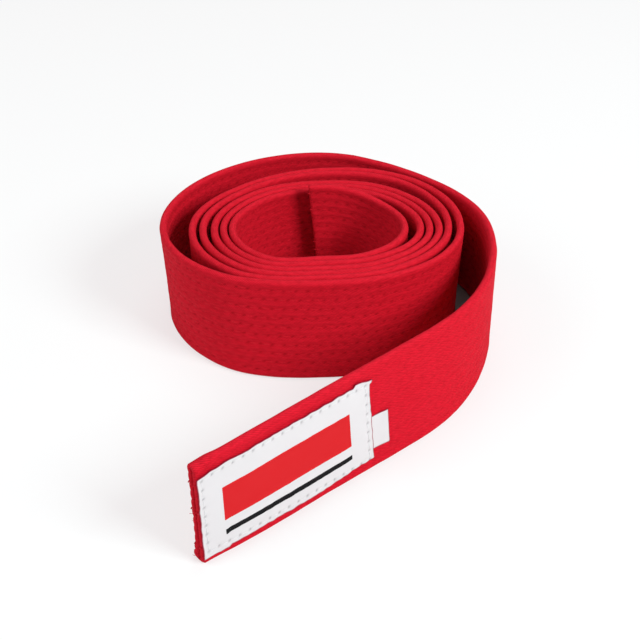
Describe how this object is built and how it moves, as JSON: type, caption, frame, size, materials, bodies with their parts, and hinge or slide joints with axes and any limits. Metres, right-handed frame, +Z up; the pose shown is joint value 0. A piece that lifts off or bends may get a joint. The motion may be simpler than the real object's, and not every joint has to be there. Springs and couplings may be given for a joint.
{
  "type": "martial arts belt",
  "caption": "Rolled red cotton martial arts belt standing on its edge, its free end drawn off the roll and carrying a white label with a plain red bar and a size tab.",
  "frame": {"origin": "on the surface that the belt stands on, under the middle of the whole belt's bounding box", "axes": "+Z up across the belt's width. -Y towards the labelled end, which is at the front left. +X to the right, where the tail leaves the roll"},
  "size_m": [0.1242, 0.1912, 0.045],
  "materials": {
    "cover_cloth": "matte cotton twill with lengthwise stitching",
    "core_cloth": "matte undyed cotton interlining",
    "red_thread": "satin sewing thread",
    "label_cloth": "satin woven ribbon",
    "white_thread": "satin sewing thread"
  },
  "bodies": {
    "roll": {"cover_roll": "cover_cloth", "core_ply_outer_roll": "core_cloth", "core_ply_inner_roll": "core_cloth", "stitch_row_01_roll": "red_thread", "stitch_row_02_roll": "red_thread", "stitch_row_03_roll": "red_thread", "stitch_row_04_roll": "red_thread", "stitch_row_05_roll": "red_thread", "stitch_row_06_roll": "red_thread", "stitch_row_07_roll": "red_thread", "stitch_row_08_roll": "red_thread", "stitch_row_09_roll": "red_thread", "stitch_row_10_roll": "red_thread", "cross_row_inner_end": "red_thread"},
    "tail": {"cover_tail": "cover_cloth", "core_ply_outer_tail": "core_cloth", "core_ply_inner_tail": "core_cloth", "stitch_row_01_tail": "red_thread", "stitch_row_02_tail": "red_thread", "stitch_row_03_tail": "red_thread", "stitch_row_04_tail": "red_thread", "stitch_row_05_tail": "red_thread", "stitch_row_06_tail": "red_thread", "stitch_row_07_tail": "red_thread", "stitch_row_08_tail": "red_thread", "stitch_row_09_tail": "red_thread", "stitch_row_10_tail": "red_thread"},
    "end_panel": {"cover_end_panel": "cover_cloth", "core_ply_outer_end_panel": "core_cloth", "core_ply_inner_end_panel": "core_cloth", "stitch_row_01_end_panel": "red_thread", "stitch_row_02_end_panel": "red_thread", "stitch_row_03_end_panel": "red_thread", "stitch_row_04_end_panel": "red_thread", "stitch_row_05_end_panel": "red_thread", "stitch_row_06_end_panel": "red_thread", "stitch_row_07_end_panel": "red_thread", "stitch_row_08_end_panel": "red_thread", "stitch_row_09_end_panel": "red_thread", "stitch_row_10_end_panel": "red_thread", "cross_row_labelled_end": "red_thread", "size_tab": "label_cloth", "label": "label_cloth", "label_stitching": "white_thread"}
  },
  "joints": [
    {"name": "tail_swing", "type": "hinge", "parent": "roll", "child": "tail", "pos_m": [0.06078, 0.03708, 0], "axis": [0, 0, 1], "range_deg": [-12, 40]},
    {"name": "end_panel_bend", "type": "hinge", "parent": "tail", "child": "end_panel", "pos_m": [0.0263, -0.03576, 0], "axis": [0, 0, 1], "range_deg": [-30, 30]}
  ]
}
